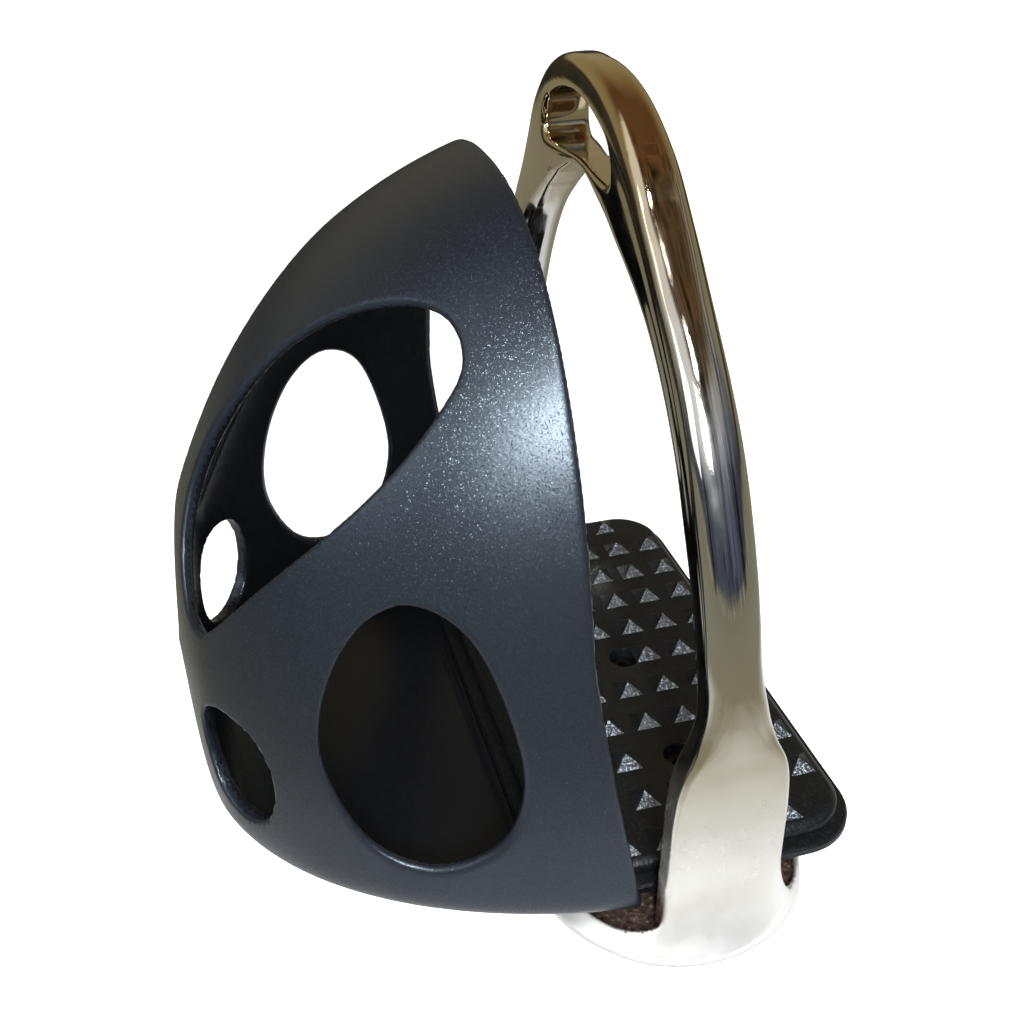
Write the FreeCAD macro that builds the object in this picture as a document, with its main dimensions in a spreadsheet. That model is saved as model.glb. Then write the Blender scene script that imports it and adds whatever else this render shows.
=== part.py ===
import FreeCAD, Part
import math
import os

from FreeCAD import Placement, Rotation, Vector

# Stirrup iron with a tread pad and a bolted toe cage.
# +X runs across the foot from leg to leg, -Y points to the toe, +Z is up.
# The origin is on the ground under the middle of the base, in the plane of the arch.

doc = FreeCAD.newDocument("stirrup_iron")

# ---------------------------------------------------------------- driving dimensions, mm

DIMENSIONS = [
    ("base_end_radius", 26.0),        # each end of the base plate is a half disc
    ("base_end_centre", 46.0),        # distance of its centre from the middle
    ("base_middle", -1.6),            # the base sits a little towards the toe
    ("base_floor", 2.4),
    ("base_lip_height", 4.8),
    ("base_edge", 0.8),               # height of the plate's outer edge
    ("base_slope_run", 4.7),          # how far in from the edge the plate's top slopes
    ("well_end_radius", 23.5),
    ("well_middle", -0.4),
    ("well_end_floor", 1.2),          # the well is deeper beyond the pad's ends
    ("well_end_inside", 50.0),
    ("well_end_centre", 46.0),
    ("leg_root_width", 22.0),
    ("leg_root_thickness", 4.9),
    ("leg_root_shift", 1.2),          # towards the heel
    ("leg_root_inside", 61.6),
    ("arch_depth", 10.2),             # front to back, round part of the leg
    ("crown_height", 19.2),           # bottom to top over the leather eye
    ("head_depth", 8.8),              # front to back, round the leather eye
    ("head_lean", 2.7),               # how far the crown leans towards the toe
    ("eye_width", 36.0),
    ("eye_bottom", 121.0),
    ("eye_height", 11.5),
    ("eye_arch_radius", 34.0),
    ("pad_width", 117.0),
    ("pad_length", 63.0),
    ("pad_middle", 3.5),              # the pad sits a little towards the heel
    ("first_stud_row", -20.1),
    ("pad_bottom", 4.8),
    ("flange_height", 2.6),
    ("flange_step", 2.4),             # how far the flange stands out past the tread
    ("groove_height", 0.7),
    ("groove_depth", 1.2),
    ("tread_top", 10.7),
    ("pad_corner", 12.0),
    ("stud_pitch_across", 10.3),
    ("stud_pitch_along", 8.05),
    ("stud_base", 5.4),
    ("stud_height", 2.0),
    ("screw_spacing", 32.0),
    ("screw_offset", 7.0),            # the screws sit towards the heel
    ("screw_hole", 6.2),
    ("screw_diameter", 3.0),
    ("screw_head_diameter", 5.5),
    ("screw_head_height", 3.0),
    ("screw_socket", 2.5),
    ("screw_socket_depth", 1.6),
    ("washer_diameter", 7.0),
    ("washer_height", 0.5),
    ("cage_wall", 2.2),
    ("cage_half_width", 63.0),
    ("cage_top", 124.0),
    ("cage_widest_height", 20.5),
    ("cage_floor_level", 2.6),
    ("cage_nose_height", 36.5),
    ("cage_nose_reach", 85.0),        # ahead of the arch plane
    ("cage_rim_setback", 21.3),       # rim ahead of the arch plane
    ("cage_mouth_centre", 8.2),       # centre of the cage's oval plan, behind the arch plane
    ("tongue_width", 88.0),
    ("tongue_back", 14.0),
]

sheet = doc.addObject("Spreadsheet::Sheet", "dimensions")
for row, (alias, value) in enumerate(DIMENSIONS, start=1):
    sheet.set("A%d" % row, alias)
    sheet.set("B%d" % row, str(value))
    sheet.setAlias("B%d" % row, alias)
doc.recompute()


def size(alias):
    """A driving dimension, for the shapes that code builds."""
    return float(sheet.get(alias))


def bind(feature, **expressions):
    """Tie properties of a feature to cells of the sheet."""
    for path, expression in expressions.items():
        words = []
        for word in expression.split():
            words.append("dimensions." + word if word in ALIASES else word)
        feature.setExpression(path.replace("__", "."), " ".join(words))


ALIASES = {alias for alias, _ in DIMENSIONS}
DOWN_Y = Rotation(Vector(1, 0, 0), 90)


def box(name, **expressions):
    feature = doc.addObject("Part::Box", name)
    bind(feature, **expressions)
    return feature


def cylinder(name, rotation=None, **expressions):
    feature = doc.addObject("Part::Cylinder", name)
    if rotation is not None:
        feature.Placement = Placement(Vector(0, 0, 0), rotation)
    bind(feature, **expressions)
    return feature


def place(x=None, y=None, z=None):
    """Expressions for a placement, by axis."""
    axes = {"x": x, "y": y, "z": z}
    return {"Placement__Base__" + axis: value for axis, value in axes.items() if value}


def fuse(name, shapes):
    feature = doc.addObject("Part::MultiFuse", name)
    feature.Shapes = shapes
    return feature


def cut(name, base, tool):
    feature = doc.addObject("Part::Cut", name)
    feature.Base = base
    feature.Tool = tool
    return feature


def code_shape(name, shape):
    feature = doc.addObject("Part::Feature", name)
    feature.Shape = shape
    feature.Placement = Placement()
    return feature


def compound(name, links):
    feature = doc.addObject("Part::Compound", name)
    feature.Links = links
    return feature


def power(value, exponent):
    """A signed power, for superellipses."""
    return math.copysign(abs(value) ** exponent, value)


def closed_spline(points):
    curve = Part.BSplineCurve()
    curve.interpolate(Points=points, PeriodicFlag=True)
    return Part.Wire([curve.toShape()])


# ---------------------------------------------------------------- frame: arch, legs and base

# The centre line of one half, from the crown down to the ground.
CENTRE_LINE = [(0, 129), (18, 123.5), (32, 111), (44, 97), (54, 79), (60.6, 62), (63.3, 45),
               (64, 28), (64, 0)]
SECTIONS = 26
SECTION_POINTS = 20
CROWN_LENGTH = 44.0                   # from the crown to where the leg is round
SHOULDER_TOP, SHOULDER_BOTTOM = 60.0, 28.0


def blend(start, end, share):
    """A smooth change from start to end as share goes from 0 to 1."""
    share = min(max(share, 0.0), 1.0)
    return start + (end - start) * share * share * (3 - 2 * share)


def arch_section(centre_line, distance):
    """A superellipse across the centre line: tall at the crown, round, then a flat root."""
    parameter = centre_line.parameterAtDistance(distance)
    place_on_line = centre_line.value(parameter)
    run = centre_line.tangent(parameter)[0]
    outward = Vector(-run.z, 0, run.x)
    crown = distance / CROWN_LENGTH
    shoulder = (SHOULDER_TOP - place_on_line.z) / (SHOULDER_TOP - SHOULDER_BOTTOM)
    leg_half = size("arch_depth") / 2
    half_thickness = blend(blend(size("crown_height") / 2, leg_half, crown),
                           size("leg_root_thickness") / 2, shoulder)
    half_depth = blend(blend(size("head_depth") / 2, leg_half, crown),
                       size("leg_root_width") / 2, shoulder)
    exponent = blend(blend(3.0, 2.2, crown), 3.2, shoulder)
    shift = blend(blend(-size("head_lean"), 0.0, crown), size("leg_root_shift"), shoulder)
    points = []
    for step in range(SECTION_POINTS):
        angle = 2 * math.pi * step / SECTION_POINTS
        across = half_thickness * power(math.cos(angle), 2 / exponent)
        along = half_depth * power(math.sin(angle), 2 / exponent)
        points.append(place_on_line + outward * across + Vector(0, along + shift, 0))
    return closed_spline(points)


centre_line = Part.BSplineCurve()
centre_line.interpolate(Points=[Vector(x, 0, z) for x, z in CENTRE_LINE],
                        InitialTangent=Vector(1, 0, 0), FinalTangent=Vector(0, 0, -1))
spacing = centre_line.length() / SECTIONS
sections = [arch_section(centre_line, spacing * index) for index in range(SECTIONS + 1)]
half_arch = code_shape("half_arch", Part.makeLoft(sections, True, False))
other_half = doc.addObject("Part::Mirroring", "other_half_arch")
other_half.Source = half_arch
other_half.Normal = Vector(1, 0, 0)


def stadium(name, radius, level, height, centre, middle="base_middle"):
    """Two half discs joined by a straight plate."""
    ends = []
    for side, sign in (("right", "+"), ("left", "-")):
        end = cylinder(name + "_" + side, Radius=radius, Height=height,
                       **place(x="0 " + sign + " " + centre, y=middle, z=level))
        ends.append(end)
    plate = box(name + "_middle", Length="2 * " + centre, Width="2 * " + radius, Height=height,
                **place(x="0 - " + centre, y=middle + " - " + radius, z=level))
    return fuse(name, ends + [plate])


def sloped_stadium(name, radius, run, level, height, centre):
    """The same outline, drawn in by run from its bottom to its top."""
    parts = []
    for side, sign in (("right", "+"), ("left", "-")):
        cone = doc.addObject("Part::Cone", name + "_" + side)
        bind(cone, Radius1=radius, Radius2=radius + " - " + run, Height=height,
             **place(x="0 " + sign + " " + centre, y="base_middle", z=level))
        parts.append(cone)
    wedge = doc.addObject("Part::Wedge", name + "_middle")
    wedge.Placement = Placement(Vector(0, 0, 0), DOWN_Y)
    bind(wedge, Xmin="0 - " + centre, Xmax=centre, X2min="0 - " + centre, X2max=centre,
         Ymin="0 * " + height, Ymax=height, Zmin="0 - " + radius, Zmax=radius,
         Z2min=run + " - " + radius, Z2max=radius + " - " + run,
         **place(y="base_middle", z=level))
    return fuse(name, parts + [wedge])


base_edge = stadium("base_edge_plate", "base_end_radius", "0 * base_floor", "base_edge",
                    "base_end_centre")
base_top = sloped_stadium("base_top", "base_end_radius", "base_slope_run", "base_edge",
                          "( base_lip_height - base_edge )", "base_end_centre")
base_plate = fuse("base_plate", [base_edge, base_top])
base_well = stadium("base_well", "well_end_radius", "base_floor", "base_lip_height",
                    "well_end_centre", "well_middle")
end_blocks = []
for side, x in (("right", "well_end_inside"), ("left", "0 - well_end_inside - 20")):
    end_blocks.append(box("end_block_" + side, Length="20 * 1", Width="2 * well_end_radius",
                          Height="2 * base_lip_height",
                          **place(x=x, y="well_middle - well_end_radius", z="well_end_floor")))
well_ends = doc.addObject("Part::Common", "well_ends")
well_ends.Base = fuse("end_blocks", end_blocks)
well_ends.Tool = stadium("deep_well", "well_end_radius", "well_end_floor", "base_lip_height",
                         "well_end_centre", "well_middle")
# The lip is left out along the toe side, where the cage's floor passes over the base.
front_gap = box("front_gap", Length="2 * leg_root_inside - 6", Width="base_end_radius",
                Height="base_lip_height",
                **place(x="3 - leg_root_inside", y="base_middle - base_end_radius - 1",
                        z="base_floor"))
tray = cut("tray", base_plate, fuse("well_and_gap", [base_well, well_ends, front_gap]))

# Each leg stands on a solid root that runs out to the end of the base.
root_blocks = []
for side, x in (("right", "leg_root_inside"), ("left", "0 - leg_root_inside - 20")):
    root_blocks.append(box("root_block_" + side, Length="20 * 1", Width="leg_root_width",
                           Height="base_lip_height",
                           **place(x=x, y="leg_root_shift - leg_root_width / 2")))
leg_roots = doc.addObject("Part::Common", "leg_roots")
leg_roots.Base = fuse("root_blocks", root_blocks)
leg_roots.Tool = base_plate

solid_frame = fuse("solid_frame", [half_arch, other_half, tray, leg_roots])

eye_block = box("eye_block", Length="eye_width", Width="3 * head_depth", Height="eye_height",
                **place(x="0 - eye_width / 2", y="0 - 1.5 * head_depth", z="eye_bottom"))
eye_arch = cylinder("eye_arch", rotation=DOWN_Y, Radius="eye_arch_radius",
                    Height="3 * head_depth",
                    **place(y="1.5 * head_depth",
                            z="eye_bottom + eye_height - eye_arch_radius"))
leather_eye = doc.addObject("Part::Common", "leather_eye")
leather_eye.Base = eye_block
leather_eye.Tool = eye_arch

SCREW_PLACES = (("left", "0 - screw_spacing"), ("middle", "0 * screw_spacing"),
                ("right", "screw_spacing"))


def screw_holes(name, diameter, level, height):
    """One hole at each screw, joined into a single tool."""
    holes = []
    for side, x in SCREW_PLACES:
        holes.append(cylinder(name + "_" + side, Radius="( " + diameter + " ) / 2",
                              Height=height, **place(x=x, y="screw_offset", z=level)))
    return fuse(name, holes)


tapped_holes = screw_holes("tapped_holes", "screw_diameter", "0 - 1", "base_floor + 2")
frame_cuts = fuse("frame_cuts", [leather_eye, tapped_holes])
frame = cut("frame_iron", solid_frame, frame_cuts)

# ---------------------------------------------------------------- toe cage

# Sections across the cage are superellipses with a flat floor; their size follows an oval
# from the mouth to the nose.
TOP_EXPONENT = 2.4
FLOOR_EXPONENT = 5.0
SIDE_TAPER = 0.76
TOP_TAPER = 0.98
FLOOR_TAPER = 0.20
CAGE_POINTS = 28


def cage_section(y, inset):
    """Half width, top, widest height and bottom of the cage at y, moved in by inset."""
    centre = size("cage_mouth_centre")
    reach = size("cage_nose_reach") - inset + centre
    rim = math.sqrt(1 - ((size("cage_rim_setback") + centre) / reach) ** 2)
    ratio = math.sqrt(max(1 - ((centre - y) / reach) ** 2, 0.0)) / rim
    nose = size("cage_nose_height")
    half_width = (size("cage_half_width") - inset) * ratio ** SIDE_TAPER
    top = nose + (size("cage_top") - inset - nose) * ratio ** TOP_TAPER
    bottom = nose - (nose - size("cage_floor_level") - inset) * min(ratio, 1.0) ** FLOOR_TAPER
    widest = nose + (size("cage_widest_height") - nose) * min(ratio, 1.0)
    return half_width, top, widest, bottom


def cage_wire(y, inset):
    half_width, top, widest, bottom = cage_section(y, inset)
    points = []
    for step in range(CAGE_POINTS):
        angle = 2 * math.pi * (step + 0.5) / CAGE_POINTS
        above = math.sin(angle) > 0
        exponent = TOP_EXPONENT if above else FLOOR_EXPONENT
        reach = top - widest if above else widest - bottom
        x = half_width * power(math.cos(angle), 2 / exponent)
        points.append(Vector(x, y, widest + reach * power(math.sin(angle), 2 / exponent)))
    return closed_spline(points)


def cage_solid(inset, back):
    reach = size("cage_nose_reach") - inset
    wires = [cage_wire(back, inset)]
    for angle in (14, 25, 36, 47, 57, 66, 74, 81, 86):
        wires.append(cage_wire(-reach * math.sin(math.radians(angle)), inset))
    tip = Part.Vertex(Vector(0, -reach, size("cage_nose_height")))
    return Part.makeLoft(wires + [tip], True, False)


def rim_cutter():
    """Everything behind the rim, which leans back to the base below knee height."""
    setback = size("cage_rim_setback")
    lean, lean_top, power_of_lean = 9.5, 62.0, 1.3
    points = []
    for height in (62.0, 45.0, 30.0, 16.0, 5.0, -10.0):
        share = max(lean_top - height, 0) / (lean_top - 5.0)
        points.append(Vector(0, -setback + lean * share ** power_of_lean, height))
    curve = Part.BSplineCurve()
    curve.interpolate(Points=points)
    top = Vector(0, -setback, 160)
    far_top, far_bottom = Vector(0, 60, 160), Vector(0, 60, -10)
    edges = [curve.toShape(), Part.makeLine(points[-1], far_bottom),
             Part.makeLine(far_bottom, far_top), Part.makeLine(far_top, top),
             Part.makeLine(top, points[0])]
    face = Part.Face(Part.Wire(Part.__sortEdges__(edges)))
    face.translate(Vector(-90, 0, 0))
    return face.extrude(Vector(180, 0, 0))


def window_cutter(outline, centre, direction, reach):
    """A prism along direction whose section is the outline, given about centre.

    The outline's first coordinate runs level and the second uphill across the direction."""
    axis = Vector(*direction).normalize()
    level = Vector(0, 0, 1).cross(axis).normalize()
    uphill = axis.cross(level)
    points = [Vector(*centre) + level * u + uphill * v for u, v in outline]
    wire = closed_spline(points)
    wire.translate(axis * -reach)
    return Part.Face(wire).extrude(axis * (2 * reach))


# Right-hand windows; the left-hand ones mirror them.
SIDE_WINDOW = [(0.5, 25.5), (7.5, 19.0), (12.0, 8.0), (14.8, -5.0), (13.5, -15.5), (6.0, -23.0),
               (-3.0, -24.5), (-10.5, -18.5), (-14.8, -8.0), (-14.8, 5.0), (-10.0, 19.0)]
NOSE_WINDOW = [(0.0, 11.0), (6.5, 9.5), (9.8, 1.5), (8.0, -8.0), (2.0, -11.5), (-5.5, -8.5),
               (-10.0, 0.0), (-7.0, 7.5)]


def top_window():
    """The outline lies on the cage, so it is given as places and taken along one direction."""
    places = [(34, -35, 108), (26, -41, 110), (17, -53, 104.5), (10.5, -65, 94), (7.5, -76, 78),
              (10.5, -81, 64), (19, -81.5, 56.5), (27, -78, 56), (34, -70, 67), (39, -59, 79),
              (41, -49, 89), (40, -40, 99)]
    axis = Vector(0.45, -0.55, 0.70).normalize()
    points = []
    for x, y, z in places:
        place_vector = Vector(x, y, z)
        points.append(place_vector - axis * place_vector.dot(axis))
    wire = closed_spline(points)
    wire.translate(axis * 40)
    return Part.Face(wire).extrude(axis * 90)


outer = code_shape("cage_outside", cage_solid(0.0, -6.0))
inner = code_shape("cage_inside", cage_solid(size("cage_wall"), -5.0))
cage_walls = cut("cage_walls", outer, inner)
cage_trimmed = cut("cage_trimmed", cage_walls, code_shape("cage_mouth", rim_cutter()))

right_windows = [
    window_cutter(SIDE_WINDOW, (62, -48, 45), (1, 0, 0), 30),
    window_cutter(NOSE_WINDOW, (31, -78, 29.5), (0.55, -0.83, 0), 16),
    top_window(),
]
right = code_shape("cage_windows_right", Part.makeCompound(right_windows))
left = doc.addObject("Part::Mirroring", "cage_windows_left")
left.Source = right
left.Normal = Vector(1, 0, 0)
cage_right_open = cut("cage_right_open", cage_trimmed, right)
cage_open = cut("cage_open", cage_right_open, left)

# The lower corners of the mouth are relieved round the pad's flange and the base's lip.
reliefs = []
for side, x in (("right", "pad_width / 2 - 4.5"), ("left", "0 - pad_width / 2 - 15.5")):
    reliefs.append(box("cage_relief_" + side, Length="20 * 1", Width="20 * 1", Height="12 * 1",
                       **place(x=x, y="base_middle - base_end_radius - 1.5", z="0 - 4.4")))
cage_clear = cut("cage_clear", cage_open, fuse("cage_reliefs", reliefs))
tongue = box("cage_tongue", Length="tongue_width", Width="tongue_back + base_end_radius",
             Height="cage_wall",
             **place(x="0 - tongue_width / 2", y="0 - base_end_radius", z="cage_floor_level"))
cage_and_tongue = fuse("cage_and_tongue", [cage_clear, tongue])
cage_holes = screw_holes("cage_holes", "screw_diameter + 0.4", "0 - 1", "8 * 1")
cage = cut("toe_cage_moulding", cage_and_tongue, cage_holes)

# ---------------------------------------------------------------- tread pad


def pad_layer(name, inset, level, height):
    """A plate with the pad's outline, moved in by inset, with round corners."""
    body = doc.addObject("PartDesign::Body", name)
    plate = body.newObject("PartDesign::AdditiveBox", name + "_plate")
    bind(plate, Length="pad_width - 2 * ( " + inset + " )",
         Width="pad_length - 2 * ( " + inset + " )", Height=height,
         **place(x="( " + inset + " ) - pad_width / 2",
                 y="pad_middle + ( " + inset + " ) - pad_length / 2", z=level))
    doc.recompute()
    upright = []
    for number, edge in enumerate(plate.Shape.Edges, start=1):
        start, end = edge.Vertexes[0].Point, edge.Vertexes[-1].Point
        if abs(start.z - end.z) > 0.1:
            upright.append("Edge%d" % number)
    corners = body.newObject("PartDesign::Fillet", name + "_corners")
    corners.Base = (plate, upright)
    bind(corners, Radius="pad_corner - ( " + inset + " )")
    body.Tip = corners
    return body


flange = pad_layer("pad_flange", "0 * pad_corner", "pad_bottom", "flange_height")
neck = pad_layer("pad_neck", "flange_step + groove_depth", "pad_bottom + flange_height - 0.1",
                 "groove_height + 0.2")
tread = pad_layer("pad_tread", "flange_step", "pad_bottom + flange_height + groove_height",
                  "tread_top - pad_bottom - flange_height - groove_height")


def stud_field():
    """Rows of square pyramids, left out at the corners and round the screws."""
    across, along = size("stud_pitch_across"), size("stud_pitch_along")
    half, height, top = size("stud_base") / 2, size("stud_height"), size("tread_top")
    root_depth = 0.3
    screws = [(side * size("screw_spacing"), size("screw_offset")) for side in (-1, 0, 1)]
    studs = []
    for column in range(-5, 6):
        for row in range(7):
            x, y = column * across, size("first_stud_row") + row * along
            corner = abs(column) == 5 and row in (0, 6)
            near_screw = any(math.hypot(x - sx, y - sy) < 5.0 for sx, sy in screws)
            if corner or near_screw:
                continue
            foot = half * (height + root_depth) / height
            stud = Part.makeWedge(-foot, 0, -foot, -0.05, -0.05, foot, height + root_depth,
                                  foot, 0.05, 0.05)
            stud.Placement = Placement(Vector(x, y, top - root_depth), DOWN_Y)
            studs.append(stud)
    return Part.makeCompound(studs)


studs = code_shape("pad_studs", stud_field())
pad_blank = fuse("pad_blank", [flange, neck, tread, studs])
head_holes = screw_holes("head_holes", "screw_hole", "pad_bottom - 1", "12 * 1")
washer_pockets = screw_holes("washer_pockets", "washer_diameter + 0.6", "pad_bottom - 1",
                             "washer_height + 1.2")
pad = cut("tread_pad_rubber", pad_blank, fuse("pad_cuts", [head_holes, washer_pockets]))

# ---------------------------------------------------------------- screws and washers

screws, washers = [], []
for side, x in SCREW_PLACES:
    seat = "pad_bottom + washer_height"
    shank = cylinder("shank_" + side, Radius="screw_diameter / 2",
                     Height="pad_bottom + washer_height - 0.3",
                     **place(x=x, y="screw_offset", z="0.3 * 1"))
    screw_head = cylinder("head_" + side, Radius="screw_head_diameter / 2",
                          Height="screw_head_height",
                          **place(x=x, y="screw_offset", z=seat))
    socket = doc.addObject("Part::Prism", "socket_" + side)
    socket.Polygon = 6
    bind(socket, Circumradius="screw_socket / 1.732", Height="screw_socket_depth + 1",
         **place(x=x, y="screw_offset",
                 z=seat + " + screw_head_height - screw_socket_depth"))
    screws.append(cut("screw_" + side, fuse("screw_blank_" + side, [shank, screw_head]), socket))
    disc = cylinder("washer_disc_" + side, Radius="washer_diameter / 2", Height="washer_height",
                    **place(x=x, y="screw_offset", z="pad_bottom"))
    bore = cylinder("washer_bore_" + side, Radius="screw_diameter / 2 + 0.1",
                    Height="3 * washer_height",
                    **place(x=x, y="screw_offset", z="pad_bottom - washer_height"))
    washers.append(cut("washer_" + side, disc, bore))

screw_group = compound("screw_group", screws)
washer_group = compound("washer_group", washers)

# ---------------------------------------------------------------- check and write

NODES = {
    "frame": frame,
    "toe_cage": cage,
    "tread_pad": pad,
    "screws": screw_group,
    "washers": washer_group,
}
for node, feature in NODES.items():
    feature.Label = node

doc.recompute()

for feature in doc.Objects:
    if "Invalid" in feature.State or "Error" in feature.State:
        raise RuntimeError("%s did not rebuild" % feature.Name)

os.makedirs("parts", exist_ok=True)
for node, feature in NODES.items():
    shape = feature.Shape
    if shape.isNull() or not shape.isValid():
        raise RuntimeError("%s has no valid shape" % node)
    shape.exportStep(os.path.join("parts", node + ".step"))
    bounds = shape.BoundBox
    print("%-10s solids %d  volume %.1f cm3  x %.1f..%.1f  y %.1f..%.1f  z %.1f..%.1f" % (
        node, len(shape.Solids), shape.Volume / 1000, bounds.XMin, bounds.XMax,
        bounds.YMin, bounds.YMax, bounds.ZMin, bounds.ZMax))
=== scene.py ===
import math

import bmesh
import bpy
import numpy as np
from mathutils import Matrix, Vector


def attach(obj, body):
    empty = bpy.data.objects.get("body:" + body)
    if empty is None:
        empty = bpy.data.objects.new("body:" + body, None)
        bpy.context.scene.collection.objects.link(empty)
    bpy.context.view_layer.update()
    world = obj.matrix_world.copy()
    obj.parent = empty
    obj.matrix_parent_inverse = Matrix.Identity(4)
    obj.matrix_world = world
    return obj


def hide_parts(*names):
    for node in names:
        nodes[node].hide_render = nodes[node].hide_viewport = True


# A stirrup iron with a studded tread pad and a toe cage. Shapes are worked out in
# millimetres in the part's own frame and scaled to metres when their mesh is made.

MM = 0.001
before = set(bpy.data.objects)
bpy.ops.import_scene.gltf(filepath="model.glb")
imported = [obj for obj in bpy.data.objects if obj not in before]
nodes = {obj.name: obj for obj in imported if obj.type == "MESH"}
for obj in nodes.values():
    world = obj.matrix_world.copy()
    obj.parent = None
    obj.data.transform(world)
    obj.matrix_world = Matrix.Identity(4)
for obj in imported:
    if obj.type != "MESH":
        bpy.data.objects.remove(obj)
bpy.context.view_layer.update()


# ---------------------------------------------------------------- smooth solids from fields

def smooth_step(start, end, share):
    """Goes from start to end as share goes from 0 to 1."""
    share = np.clip(share, 0.0, 1.0)
    return start + (end - start) * share * share * (3 - 2 * share)


def join(a, b, radius):
    """Union of two fields with a fillet between them."""
    share = np.maximum(radius - np.abs(a - b), 0.0) / radius
    return np.minimum(a, b) - share * share * radius / 4


def keep(a, b, radius):
    """What two fields share, with the edge between them rounded."""
    return -join(-a, -b, radius)


def gradient(field, points, value, step=0.02):
    """The field's slope at each point, where its value is already known."""
    columns = []
    for axis in range(3):
        move = np.zeros(3)
        move[axis] = step
        columns.append((field(points + move) - value) / step)
    return np.stack(columns, axis=1)


def settle(field, points, rounds, reach):
    """Moves points onto the surface where the field is zero."""
    for _ in range(rounds):
        value = field(points)
        slope = gradient(field, points, value)
        square = np.maximum((slope * slope).sum(axis=1), 1e-3)
        move = slope * (value / square)[:, None]
        length = np.maximum(np.linalg.norm(move, axis=1), 1e-9)
        points = points - move * np.minimum(1.0, reach / length)[:, None]
    return points


BLOCK = 6
RELAX_ROUNDS = 3


def surface(field, low, high, cell):
    """The zero surface of a field as quads, one point in each cell that it crosses."""
    counts = [int(math.ceil((h - l) / cell / BLOCK)) * BLOCK for l, h in zip(low, high)]
    low = np.array(low, float)
    # Whole blocks far from the surface take the sign at their middle.
    block_index = np.argwhere(np.ones([n // BLOCK for n in counts], dtype=bool))
    middles = low + (block_index * BLOCK + (BLOCK - 1) / 2) * cell
    value = field(middles)
    inside = np.zeros(counts, dtype=bool)
    offsets = np.argwhere(np.ones((BLOCK,) * 3, dtype=bool))
    near = np.abs(value) < BLOCK * cell * 1.6
    for index, filled in zip(block_index[~near] * BLOCK, value[~near] < 0):
        if filled:
            i, j, k = index
            inside[i:i + BLOCK, j:j + BLOCK, k:k + BLOCK] = True
    near_index = block_index[near] * BLOCK
    for begin in range(0, len(near_index), 2000):
        grid = (near_index[begin:begin + 2000, None, :] + offsets[None, :, :]).reshape(-1, 3)
        inside[grid[:, 0], grid[:, 1], grid[:, 2]] = field(low + grid * cell) < 0
    corner_count = np.zeros([n - 1 for n in counts], dtype=np.int8)
    for a in (0, 1):
        for b in (0, 1):
            for c in (0, 1):
                corner_count += inside[a:counts[0] - 1 + a, b:counts[1] - 1 + b,
                                       c:counts[2] - 1 + c]
    crossed = (corner_count > 0) & (corner_count < 8)
    index = np.full(crossed.shape, -1, dtype=np.int64)
    index[crossed] = np.arange(crossed.sum())
    cells = np.argwhere(crossed)
    points = np.array(low) + (cells + 0.5) * cell
    quads = []
    for axis in range(3):
        b, c = (axis + 1) % 3, (axis + 2) % 3
        order = [axis, b, c]
        turned = np.transpose(inside, order)
        numbered = np.transpose(index, order)
        here, there = turned[:-1, 1:-1, 1:-1], turned[1:, 1:-1, 1:-1]
        for sign in (True, False):
            edges = np.argwhere((here == sign) & (there != sign))
            i, j, k = edges[:, 0], edges[:, 1], edges[:, 2]
            ring = [numbered[i, j, k], numbered[i, j + 1, k], numbered[i, j + 1, k + 1],
                    numbered[i, j, k + 1]]
            quads.append(np.stack(ring if sign else ring[::-1], axis=1))
    quads = np.concatenate(quads)
    points = settle(field, points, 3, cell)
    for _ in range(RELAX_ROUNDS):
        starts = np.concatenate([quads[:, k] for k in range(4)] * 2)
        ends = np.concatenate([quads[:, (k + 1) % 4] for k in range(4)]
                              + [quads[:, (k - 1) % 4] for k in range(4)])
        count = np.bincount(starts, minlength=len(points))
        total = np.stack([np.bincount(starts, weights=points[ends, axis], minlength=len(points))
                          for axis in range(3)], axis=1)
        points = points + 0.5 * (total / np.maximum(count, 1)[:, None] - points)
        points = settle(field, points, 1, cell)
    points = settle(field, points, 1, cell)
    return points, quads


def make_object(name, points, faces, material):
    mesh = bpy.data.meshes.new(name)
    mesh.from_pydata((np.asarray(points) * MM).tolist(), [], [list(f) for f in faces])
    mesh.validate()
    piece = bpy.data.objects.new(name, mesh)
    bpy.context.collection.objects.link(piece)
    mesh.materials.append(material)
    for polygon in mesh.polygons:
        polygon.use_smooth = True
    return piece


def true_normals(piece, field):
    """Shades the mesh by the slope of its field, so that flat metal reflects evenly."""
    places = np.array([vertex.co for vertex in piece.data.vertices]) / MM
    slope = gradient(field, places, field(places), 0.05)
    slope /= np.maximum(np.linalg.norm(slope, axis=1, keepdims=True), 1e-6)
    piece.data.normals_split_custom_set_from_vertices(slope.tolist())


SPAN_STEPS = 24


def spline_span(p0, p1, p2, p3):
    """Points on a Catmull-Rom curve from p1 up to p2, with its neighbours p0 and p3."""
    return [0.5 * (2 * p1 + (p2 - p0) * u + (2 * p0 - 5 * p1 + 4 * p2 - p3) * u ** 2
                   + (3 * p1 - p0 - 3 * p2 + p3) * u ** 3)
            for u in np.linspace(0, 1, SPAN_STEPS, endpoint=False)]


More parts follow.
